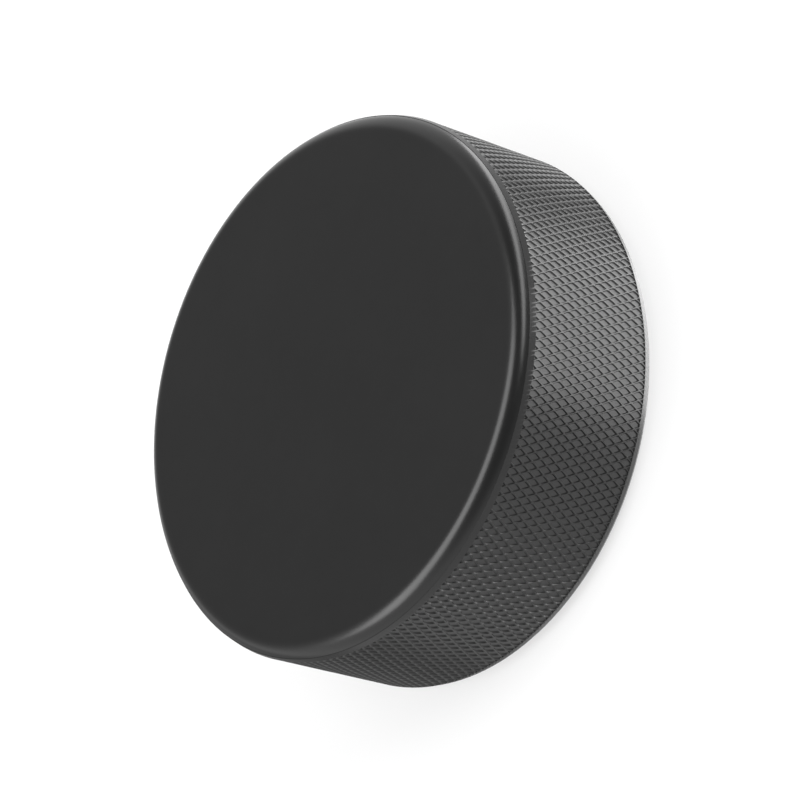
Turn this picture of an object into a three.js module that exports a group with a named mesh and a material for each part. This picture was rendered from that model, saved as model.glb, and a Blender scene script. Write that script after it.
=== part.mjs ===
// An ice-hockey puck: one solid disc of vulcanised rubber, lying flat on its lower face.
// Units are millimetres. +Z is the axis of the disc, and the origin is the centre of the lower face.
import * as THREE from "three";

// Regulation size: 3 inches across and 1 inch thick.
const DIAMETER = 76.2;
const THICKNESS = 25.4;

// The knurled grip band round the middle of the edge, measured along the axis.
const GRIP_BAND_HEIGHT = 20.4;

// The rounded lip between the edge and each flat face. It starts at a parting line, where the middle
// ring of the mould met its end plates, and the normal there already leans this far towards the face.
const LIP_RADIUS = 2.65;
const LIP_START_ANGLE = THREE.MathUtils.degToRad(22);

// How finely the curves are cut into flats.
const SEGMENTS_AROUND = 96;
const LIP_SEGMENTS = 6;

const RUBBER_COLOUR = 0x171717;
const RUBBER_ROUGHNESS = 0.55;

// The upper half of the section, as radius and height above the middle plane, from the grip band to
// the axis. The grip band is the cylinder that the ridges of the knurl reach. A plain margin slopes
// in from it to the parting line, the lip rounds over, and the face is flat.
function halfSection() {
  const radius = DIAMETER / 2;
  const points = [new THREE.Vector2(radius, GRIP_BAND_HEIGHT / 2)];
  const centreRadius = radius - LIP_RADIUS;
  const centreHeight = THICKNESS / 2 - LIP_RADIUS;
  for (let step = 0; step <= LIP_SEGMENTS; step += 1) {
    const angle = THREE.MathUtils.lerp(LIP_START_ANGLE, Math.PI / 2, step / LIP_SEGMENTS);
    const lipRadius = centreRadius + LIP_RADIUS * Math.cos(angle);
    const lipHeight = centreHeight + LIP_RADIUS * Math.sin(angle);
    points.push(new THREE.Vector2(lipRadius, lipHeight));
  }
  points.push(new THREE.Vector2(0, THICKNESS / 2));
  return points;
}

// The whole section, from the axis at the lower face to the axis at the upper face.
function puckSection() {
  const upper = halfSection();
  const lower = upper.map((point) => new THREE.Vector2(point.x, -point.y)).reverse();
  return [...lower, ...upper].map((point) => new THREE.Vector2(point.x, point.y + THICKNESS / 2));
}

function puckBody() {
  const geometry = new THREE.LatheGeometry(puckSection(), SEGMENTS_AROUND);
  // A lathe turns its section about Y, and the puck's axis is Z.
  geometry.rotateX(Math.PI / 2);
  const rubber = new THREE.MeshStandardMaterial({
    color: RUBBER_COLOUR,
    roughness: RUBBER_ROUGHNESS,
    metalness: 0,
  });
  const body = new THREE.Mesh(geometry, rubber);
  body.name = "puck_body";
  return body;
}

const puck = new THREE.Group();
puck.add(puckBody());

export default puck;
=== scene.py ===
"""The looks of the hockey puck: one moulded rubber disc with a knurled grip band.

Lengths are in metres unless a name says otherwise. The puck lies on its lower face at z = 0, and its
axis is Z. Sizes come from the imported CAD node, and every other size is a named value below.
"""

import math

import bmesh
import bpy
from mathutils import Matrix, Vector, noise


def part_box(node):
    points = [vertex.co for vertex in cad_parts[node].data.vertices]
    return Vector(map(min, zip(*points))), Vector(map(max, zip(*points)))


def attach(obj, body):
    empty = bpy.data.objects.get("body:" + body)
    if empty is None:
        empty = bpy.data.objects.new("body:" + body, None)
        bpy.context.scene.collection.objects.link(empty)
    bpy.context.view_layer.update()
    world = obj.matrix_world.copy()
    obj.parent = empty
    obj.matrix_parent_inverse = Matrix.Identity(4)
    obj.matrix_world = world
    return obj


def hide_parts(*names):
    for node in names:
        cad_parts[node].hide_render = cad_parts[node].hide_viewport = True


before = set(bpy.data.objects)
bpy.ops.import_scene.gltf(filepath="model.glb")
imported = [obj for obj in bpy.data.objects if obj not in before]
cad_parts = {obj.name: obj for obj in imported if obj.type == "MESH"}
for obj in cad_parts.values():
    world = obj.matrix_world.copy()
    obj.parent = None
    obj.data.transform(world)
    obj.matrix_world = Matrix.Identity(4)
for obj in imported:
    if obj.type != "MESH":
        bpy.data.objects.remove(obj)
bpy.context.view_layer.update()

MM = 0.001
NODE = "puck_body"
BODY = "root"

# ---------------------------------------------------------------- sizes

low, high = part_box(NODE)
RADIUS = (high.x - low.x) / 2
THICKNESS = high.z - low.z
MIDDLE = (low.z + high.z) / 2

# The knurl: two families of ridges lean opposite ways and leave diamond pits between them.
RIDGES_AROUND = 183
PIT_WIDTH = 2 * math.pi * RADIUS / RIDGES_AROUND
PIT_HEIGHT = 2.69 * MM
PIT_DEPTH = 0.18 * MM
GRIP_HALF_HEIGHT = 10.2 * MM

# A pit is two diamonds inside the grid of ridge crowns. Each row is the diamond's half width as a share
# of a full pit, its level as a share of the pit's depth, and the share of each side cut off at its tips.
PIT_SHOULDER = (0.445, 0.97, 0.10)
PIT_FLOOR = (0.367, 0.00, 0.18)
CROWN_LEVEL = 1.0

# Edges that turn more sharply than this are creased, and the rest are shaded smooth.
CREASE_ANGLE = math.radians(28)

# The section from the grip band to the face, on each side of the middle plane: the short wall that ends
# the knurl, a plain margin, the step where the mould parts, and the lip's arc, which is set in a little
# and whose normal at the start already leans towards the face.
END_WALL_RUN = 0.05 * MM
PARTING_STEP = 0.07 * MM
LIP_RADIUS = 2.65 * MM
LIP_SETBACK = 0.10 * MM
LIP_START = math.radians(24)
LIP_STEPS = 10
POINTS_AROUND = 2 * RIDGES_AROUND

# The rings that divide a flat face, as shares of its radius.
FACE_RINGS = (0.985, 0.93, 0.62, 0.3)
FACE_POINTS_AROUND = RIDGES_AROUND

# How uneven the moulding is, and the size of the patches.
CROWN_UNEVENNESS = 0.12
CROWN_PATCH = 9 * MM
CROWN_SPECK = 2.2 * MM
SPECK_SHARE = 0.5
LIP_UNEVENNESS = 0.016 * MM
LIP_PATCH = 3 * MM

# Two angles, two heights, and a point and the cutting plane are taken to agree within these.
SAME_TURN = 1e-5
SAME_HEIGHT = 1e-6
CUT_TOLERANCE = 1e-7

# ---------------------------------------------------------------- looks

# Each noise is its scale per metre, its detail and its roughness.
CLOUDS = (60, 3, 0.5)
STREAKS = (420, 4, 0.6)
GRAIN = (5200, 2, 0.6)

# The middle part of a noise's output, which is spread over the range that it drives.
NOISE_RANGE = (0.3, 0.7)
RUBBER_TONE = (0.0052, 0.0066)
RUBBER_ROUGHNESS = (0.25, 0.27)
PIT_EXTRA_TONE = 0.005
PIT_EXTRA_ROUGHNESS = 0.10
GRAIN_STRENGTH = 0.25
GRAIN_DEPTH = 0.01 * MM

TABLE_TONE = 0.8
TABLE_ROUGHNESS = 0.9
TABLE_GLOW = 0.13

# ---------------------------------------------------------------- view and studio

# Where the camera stands from the middle of the puck, and how it is rolled.
CAMERA_DISTANCE = 513.8 * MM
CAMERA_ELEVATION = math.radians(40.42)
CAMERA_ROLL = math.radians(73.6)
CAMERA_LENS_MM = 167.73
CAMERA_SENSOR_MM = 36
CAMERA_SLIDE_RIGHT = 0.98 * MM
CAMERA_SLIDE_UP = 0.27 * MM
CAMERA_NEAR = 0.01
CAMERA_FAR = 50

# The table top lies just under the puck, so that the two don't share a plane.
TABLE_SIZE = 12.0
TABLE_DROP = 0.05 * MM
SOFTBOX_DISTANCE = 0.7


# ---------------------------------------------------------------- the knurled band


def at_turn(turn, radius, height):
    """The point at that angle round the axis, radius and height above the middle plane."""
    return Vector((radius * math.cos(turn), radius * math.sin(turn), MIDDLE + height))


def diamond(tip_share, cut_share):
    """The outline of a pit at one level, as shares of the pit's width and height, tips cut off."""
    corners = [(tip_share, 0.0), (0.0, tip_share), (-tip_share, 0.0), (0.0, -tip_share)]
    points = []
    for index, corner in enumerate(corners):
        for neighbour in (corners[index - 1], corners[(index + 1) % 4]):
            points.append(
                tuple(c + (n - c) * cut_share for c, n in zip(corner, neighbour, strict=True))
            )
    return points


def crown_height(point):
    """How far the ridges rise above the pits: the mould isn't cut equally deep everywhere."""
    wave = noise.noise(point / CROWN_PATCH) + SPECK_SHARE * noise.noise(point / CROWN_SPECK)
    return PIT_DEPTH * (1 - CROWN_UNEVENNESS * min(1.0, abs(wave)))


def add_knurl(bm, relief):
    """Covers the edge of the disc with pits, to a little past the grip band."""
    crowns = {}
    rows = math.ceil(2 * GRIP_HALF_HEIGHT / PIT_HEIGHT) + 1

    def point_at(arc, height, level):
        turn = arc / RADIUS
        rise = crown_height(at_turn(turn, RADIUS, height)) * level
        vert = bm.verts.new(at_turn(turn, RADIUS - PIT_DEPTH + rise, height))
        vert[relief] = level
        return vert

    def crown_at(half_steps, row):
        key = (half_steps % (2 * RIDGES_AROUND), row)
        if key not in crowns:
            arc = key[0] * PIT_WIDTH / 2
            crowns[key] = point_at(arc, row * PIT_HEIGHT / 2, CROWN_LEVEL)
        return crowns[key]

    def diamond_at(arc, height, shape):
        tip_share, level, cut_share = shape
        return [
            point_at(arc + x * PIT_WIDTH, height + y * PIT_HEIGHT, level)
            for x, y in diamond(tip_share, cut_share)
        ]

    for row in range(-rows, rows + 1):
        height = row * PIT_HEIGHT / 2
        for column in range(RIDGES_AROUND):
            middle = 2 * column + (1 if row % 2 == 0 else 0)
            arc = middle * PIT_WIDTH / 2
            outer = [
                crown_at(middle + 1, row),
                crown_at(middle, row + 1),
                crown_at(middle - 1, row),
                crown_at(middle, row - 1),
            ]
            shoulder = diamond_at(arc, height, PIT_SHOULDER)
            floor = diamond_at(arc, height, PIT_FLOOR)
            for side in range(len(outer)):
                after = (side + 1) % len(outer)
                bm.faces.new((outer[side], shoulder[2 * side + 1], shoulder[2 * side]))
                bm.faces.new(
                    (outer[side], outer[after], shoulder[2 * after], shoulder[2 * side + 1])
                )
            for k in range(len(floor)):
                n = (k + 1) % len(floor)
                bm.faces.new((shoulder[k], shoulder[n], floor[n], floor[k]))
            bm.faces.new(floor)


def trim_knurl(bm):
    """Cuts the knurl off square at both ends of the grip band."""
    for side in (1, -1):
        bmesh.ops.bisect_plane(
            bm,
            geom=bm.verts[:] + bm.edges[:] + bm.faces[:],
            dist=CUT_TOLERANCE,
            plane_co=(0, 0, MIDDLE + side * GRIP_HALF_HEIGHT),
            plane_no=(0, 0, side),
            clear_outer=True,
        )


# ---------------------------------------------------------------- rims and faces


def turn_of(vert):
    """The angle of a point round the axis, from 0 to a full turn."""
    return math.atan2(vert.co.y, vert.co.x) % (2 * math.pi)


def ring(bm, relief, count, radius, height, uneven=0.0):
    """A ring of points round the axis, each up to that unevenness nearer the axis than the radius."""
    verts = []
    for k in range(count):
        point = at_turn(2 * math.pi * k / count, radius, height)
        dip = uneven * (1 + noise.noise(point / LIP_PATCH)) / 2
        point.xy *= 1 - dip / radius
        vert = bm.verts.new(point)
        vert[relief] = CROWN_LEVEL
        verts.append(vert)
    return verts


def join_rings(bm, first, second, side):
    """Fills between two rings: with four-sided faces where their points match, or with triangles."""
    a = sorted(first, key=turn_of)
    b = sorted(second, key=turn_of)
    if len(a) == len(b) and all(abs(turn_of(p) - turn_of(q)) < SAME_TURN for p, q in zip(a, b)):
        for k in range(len(a)):
            n = (k + 1) % len(a)
            face = (a[k], a[n], b[n], b[k])
            bm.faces.new(face if side > 0 else face[::-1])
        return
    i = j = 0
    while i < len(a) or j < len(b):
        next_a = turn_of(a[i + 1]) if i + 1 < len(a) else 2 * math.pi + turn_of(a[0])
        next_b = turn_of(b[j + 1]) if j + 1 < len(b) else 2 * math.pi + turn_of(b[0])
        if j >= len(b) or (i < len(a) and next_a <= next_b):
            face = (a[i], a[(i + 1) % len(a)], b[j % len(b)])
            i += 1
        else:
            face = (a[i % len(a)], b[(j + 1) % len(b)], b[j])
            j += 1
        bm.faces.new(face if side > 0 else face[::-1])


def add_rim_and_face(bm, relief, side):
    """Everything beyond the grip band on one side: margin, parting step, lip and flat face."""
    edge_height = MIDDLE + side * GRIP_HALF_HEIGHT
    cut = [v for v in bm.verts if abs(v.co.z - edge_height) < SAME_HEIGHT and v.is_boundary]
    margin_height = side * (GRIP_HALF_HEIGHT + END_WALL_RUN)
    margin = []
    for vert in sorted(cut, key=turn_of):
        added = bm.verts.new(at_turn(turn_of(vert), RADIUS, margin_height))
        added[relief] = CROWN_LEVEL
        margin.append(added)
    join_rings(bm, cut, margin, side)

    arc_radius = RADIUS - LIP_SETBACK - LIP_RADIUS
    arc_height = THICKNESS / 2 - LIP_RADIUS

    def on_lip(angle):
        return arc_radius + LIP_RADIUS * math.cos(angle), arc_height + LIP_RADIUS * math.sin(angle)

    # The mould parts at a small step that faces the same way as the face.
    step_radius, step_height = on_lip(LIP_START)
    section = [(step_radius + PARTING_STEP, step_height, 0.0)]
    for step in range(LIP_STEPS + 1):
        angle = LIP_START + (math.pi / 2 - LIP_START) * step / LIP_STEPS
        radius, height = on_lip(angle)
        fade = math.sin(math.pi * step / LIP_STEPS)
        section.append((radius, height, LIP_UNEVENNESS * fade))
    last = margin
    for radius, height, uneven in section:
        following = ring(bm, relief, POINTS_AROUND, radius, side * height, uneven)
        join_rings(bm, last, following, side)
        last = following
    for share in FACE_RINGS:
        following = ring(bm, relief, FACE_POINTS_AROUND, arc_radius * share, side * THICKNESS / 2)
        join_rings(bm, last, following, side)
        last = following
    centre = bm.verts.new((0, 0, MIDDLE + side * THICKNESS / 2))
    centre[relief] = CROWN_LEVEL
    for k in range(len(last)):
        face = (last[k], last[(k + 1) % len(last)], centre)
        bm.faces.new(face if side > 0 else face[::-1])


def make_puck():
    """The whole disc as one closed mesh, shaded smooth but for its sharp edges."""
    bm = bmesh.new()
    relief = bm.verts.layers.float.new("relief")
    add_knurl(bm, relief)
    trim_knurl(bm)
    for side in (1, -1):
        add_rim_and_face(bm, relief, side)
    bmesh.ops.recalc_face_normals(bm, faces=bm.faces[:])
    for face in bm.faces:
        face.smooth = True
    for edge in bm.edges:
        edge.smooth = edge.calc_face_angle() < CREASE_ANGLE
    mesh = bpy.data.meshes.new("puck_rubber")
    bm.to_mesh(mesh)
    bm.free()
    puck = bpy.data.objects.new("puck_rubber", mesh)
    bpy.context.scene.collection.objects.link(puck)
    return puck


# ---------------------------------------------------------------- materials


def nodes_of(material):
    material.use_nodes = True
    tree = material.node_tree
    return tree, tree.nodes["Principled BSDF"]


def noise_node(tree, coords, pattern):
    scale, detail, roughness = pattern
    node = tree.nodes.new("ShaderNodeTexNoise")
    node.inputs["Scale"].default_value = scale
    node.inputs["Detail"].default_value = detail
    node.inputs["Roughness"].default_value = roughness
    tree.links.new(coords, node.inputs["Vector"])
    return node.outputs["Fac"]


def remap(tree, value, source, target):
    """The value carried from one range to another, where each range is its two ends."""
    node = tree.nodes.new("ShaderNodeMapRange")
    node.inputs["From Min"].default_value = source[0]
    node.inputs["From Max"].default_value = source[1]
    node.inputs["To Min"].default_value = target[0]
    node.inputs["To Max"].default_value = target[1]
    tree.links.new(value, node.inputs["Value"])
    return node.outputs["Result"]


def combine(tree, operation, first, second):
    node = tree.nodes.new("ShaderNodeMath")
    node.operation = operation
    tree.links.new(first, node.inputs[0])
    tree.links.new(second, node.inputs[1])
    return node.outputs["Value"]


def black_rubber():
    """Moulded black rubber: a fine satin grain, faint cloudy patches, and pits duller than the rest."""
    material = bpy.data.materials.new("black_rubber")
    tree, shader = nodes_of(material)
    shader.inputs["Specular IOR Level"].default_value = 0.5
    coords = tree.nodes.new("ShaderNodeTexCoord").outputs["Object"]
    relief = tree.nodes.new("ShaderNodeAttribute")
    relief.attribute_name = "relief"

    levels = (0.0, CROWN_LEVEL)
    tone = combine(
        tree,
        "ADD",
        remap(tree, noise_node(tree, coords, CLOUDS), NOISE_RANGE, RUBBER_TONE),
        remap(tree, relief.outputs["Fac"], levels, (PIT_EXTRA_TONE, 0.0)),
    )
    colour = tree.nodes.new("ShaderNodeCombineColor")
    for channel in ("Red", "Green", "Blue"):
        tree.links.new(tone, colour.inputs[channel])
    tree.links.new(colour.outputs["Color"], shader.inputs["Base Color"])

    rough = combine(
        tree,
        "ADD",
        remap(tree, noise_node(tree, coords, STREAKS), NOISE_RANGE, RUBBER_ROUGHNESS),
        remap(tree, relief.outputs["Fac"], levels, (PIT_EXTRA_ROUGHNESS, 0.0)),
    )
    tree.links.new(rough, shader.inputs["Roughness"])

    bump = tree.nodes.new("ShaderNodeBump")
    bump.inputs["Strength"].default_value = GRAIN_STRENGTH
    bump.inputs["Distance"].default_value = GRAIN_DEPTH
    tree.links.new(noise_node(tree, coords, GRAIN), bump.inputs["Height"])
    tree.links.new(bump.outputs["Normal"], shader.inputs["Normal"])
    return material


def pale_floor():
    """A plain, almost white table top, lit a little from within so that its tone stays even."""
    material = bpy.data.materials.new("pale_floor")
    _, shader = nodes_of(material)
    shader.inputs["Base Color"].default_value = (TABLE_TONE, TABLE_TONE, TABLE_TONE, 1)
    shader.inputs["Roughness"].default_value = TABLE_ROUGHNESS
    shader.inputs["Specular IOR Level"].default_value = 0.0
    shader.inputs["Emission Color"].default_value = (1, 1, 1, 1)
    shader.inputs["Emission Strength"].default_value = TABLE_GLOW
    return material


# ---------------------------------------------------------------- the studio


def view_axes():
    """The camera's right, up and forward directions."""
    forward = Vector((0, math.cos(CAMERA_ELEVATION), -math.sin(CAMERA_ELEVATION)))
    level_up = Vector((0, math.sin(CAMERA_ELEVATION), math.cos(CAMERA_ELEVATION)))
    level_right = Vector((1, 0, 0))
    right = level_right * math.cos(CAMERA_ROLL) - level_up * math.sin(CAMERA_ROLL)
    up = level_right * math.sin(CAMERA_ROLL) + level_up * math.cos(CAMERA_ROLL)
    return right, up, forward


VIEW_RIGHT, VIEW_UP, VIEW_FORWARD = view_axes()
PUCK_CENTRE = Vector((0, 0, MIDDLE))


def frame_matrix(right, up, back, place):
    """The matrix that points an object's own X, Y and Z right, up and back, and puts it in its place."""
    matrix = Matrix((right, up, back)).transposed().to_4x4()
    matrix.translation = place
    return matrix


def make_camera():
    camera = bpy.data.objects.new("camera", bpy.data.cameras.new("camera"))
    camera.data.sensor_width = CAMERA_SENSOR_MM
    camera.data.lens = CAMERA_LENS_MM
    camera.data.clip_start = CAMERA_NEAR
    camera.data.clip_end = CAMERA_FAR
    place = PUCK_CENTRE - VIEW_FORWARD * CAMERA_DISTANCE
    place += VIEW_RIGHT * CAMERA_SLIDE_RIGHT + VIEW_UP * CAMERA_SLIDE_UP
    camera.matrix_world = frame_matrix(VIEW_RIGHT, VIEW_UP, -VIEW_FORWARD, place)
    bpy.context.scene.collection.objects.link(camera)
    bpy.context.scene.camera = camera


def from_view(right, up, forward):
    """A direction given in the camera's axes."""
    return (VIEW_RIGHT * right + VIEW_UP * up + VIEW_FORWARD * forward).normalized()


def softbox(name, towards, along, length, width, radiance):
    """A flat light facing the puck. Its place and its long side are directions from the puck."""
    data = bpy.data.lights.new(name, "AREA")
    data.shape = "RECTANGLE"
    data.size = length
    data.size_y = width
    data.energy = radiance * math.pi * length * width
    across = towards.cross(along).normalized()
    light = bpy.data.objects.new(name, data)
    place = PUCK_CENTRE + towards * SOFTBOX_DISTANCE
    light.matrix_world = frame_matrix(across.cross(towards), across, towards, place)
    light.visible_camera = False
    bpy.context.scene.collection.objects.link(light)
    return light


def make_floor():
    """The table top, which only the camera sees: light from below still reaches the puck's edge."""
    mesh = bpy.data.meshes.new("floor")
    bm = bmesh.new()
    bmesh.ops.create_grid(bm, x_segments=1, y_segments=1, size=TABLE_SIZE / 2)
    bm.to_mesh(mesh)
    bm.free()
    floor = bpy.data.objects.new("floor", mesh)
    floor.location.z = low.z - TABLE_DROP
    floor.data.materials.append(pale_floor())
    bpy.context.scene.collection.objects.link(floor)
    floor.visible_diffuse = False
    floor.visible_glossy = False
    floor.visible_shadow = False


# The room as the puck sees it: white, with a dark patch behind the camera and dim ones on the left and
# low down beyond the puck. Each patch is a direction, the cosines of the angles from it where the patch
# starts and where it is deepest, and its depth.
ROOM_BRIGHTNESS = 1.08
ROOM_PATCHES = (
    (from_view(right=-0.19, up=0.46, forward=-0.87), 0.15, 0.90, 0.79),
    (from_view(right=-0.95, up=0.06, forward=0.31), 0.76, 0.99, 0.65),
    (from_view(right=-0.21, up=-0.51, forward=0.83), 0.80, 0.93, 0.70),
)


def shade_towards(tree, coords, direction, start, end, depth):
    """A factor that is 1 all round and falls smoothly to 1 - depth towards a direction."""
    dot = tree.nodes.new("ShaderNodeVectorMath")
    dot.operation = "DOT_PRODUCT"
    dot.inputs[1].default_value = direction
    tree.links.new(coords, dot.inputs[0])
    fall = tree.nodes.new("ShaderNodeMapRange")
    fall.interpolation_type = "SMOOTHSTEP"
    fall.inputs["From Min"].default_value = start
    fall.inputs["From Max"].default_value = end
    fall.inputs["To Min"].default_value = 1.0
    fall.inputs["To Max"].default_value = 1.0 - depth
    tree.links.new(dot.outputs["Value"], fall.inputs["Value"])
    return fall.outputs["Result"]


def make_room():
    world = bpy.data.worlds.new("room")
    world.use_nodes = True
    tree = world.node_tree
    background = tree.nodes["Background"]
    background.inputs["Color"].default_value = (1, 1, 1, 1)
    coords = tree.nodes.new("ShaderNodeTexCoord").outputs["Generated"]
    level = tree.nodes.new("ShaderNodeValue")
    level.outputs["Value"].default_value = ROOM_BRIGHTNESS
    strength = level.outputs["Value"]
    for direction, start, end, depth in ROOM_PATCHES:
        patch = shade_towards(tree, coords, direction, start, end, depth)
        strength = combine(tree, "MULTIPLY", strength, patch)
    tree.links.new(strength, background.inputs["Strength"])
    bpy.context.scene.world = world


# ---------------------------------------------------------------- putting it together

make_camera()
make_room()
make_floor()
softbox(
    "side_strip",
    towards=from_view(right=0.91, up=0.31, forward=0.28),
    along=from_view(right=-0.58, up=-0.14, forward=0.81),
    length=1.11,
    width=0.52,
    radiance=3.7,
)
softbox(
    "overhead_strip",
    towards=from_view(right=0.17, up=0.94, forward=-0.28),
    along=from_view(right=-0.05, up=-0.03, forward=1.00),
    length=1.54,
    width=0.21,
    radiance=5.4,
)
left_strip = softbox(
    "left_strip",
    towards=from_view(right=-0.85, up=-0.02, forward=-0.53),
    along=from_view(right=0.27, up=0.96, forward=-0.12),
    length=0.96,
    width=0.33,
    radiance=4.2,
)
# This one only fills, so it casts no shadow on the table.
left_strip.data.use_shadow = False

bpy.context.scene.view_settings.view_transform = "Standard"

puck = make_puck()
puck.data.materials.append(black_rubber())
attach(puck, BODY)
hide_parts(NODE)
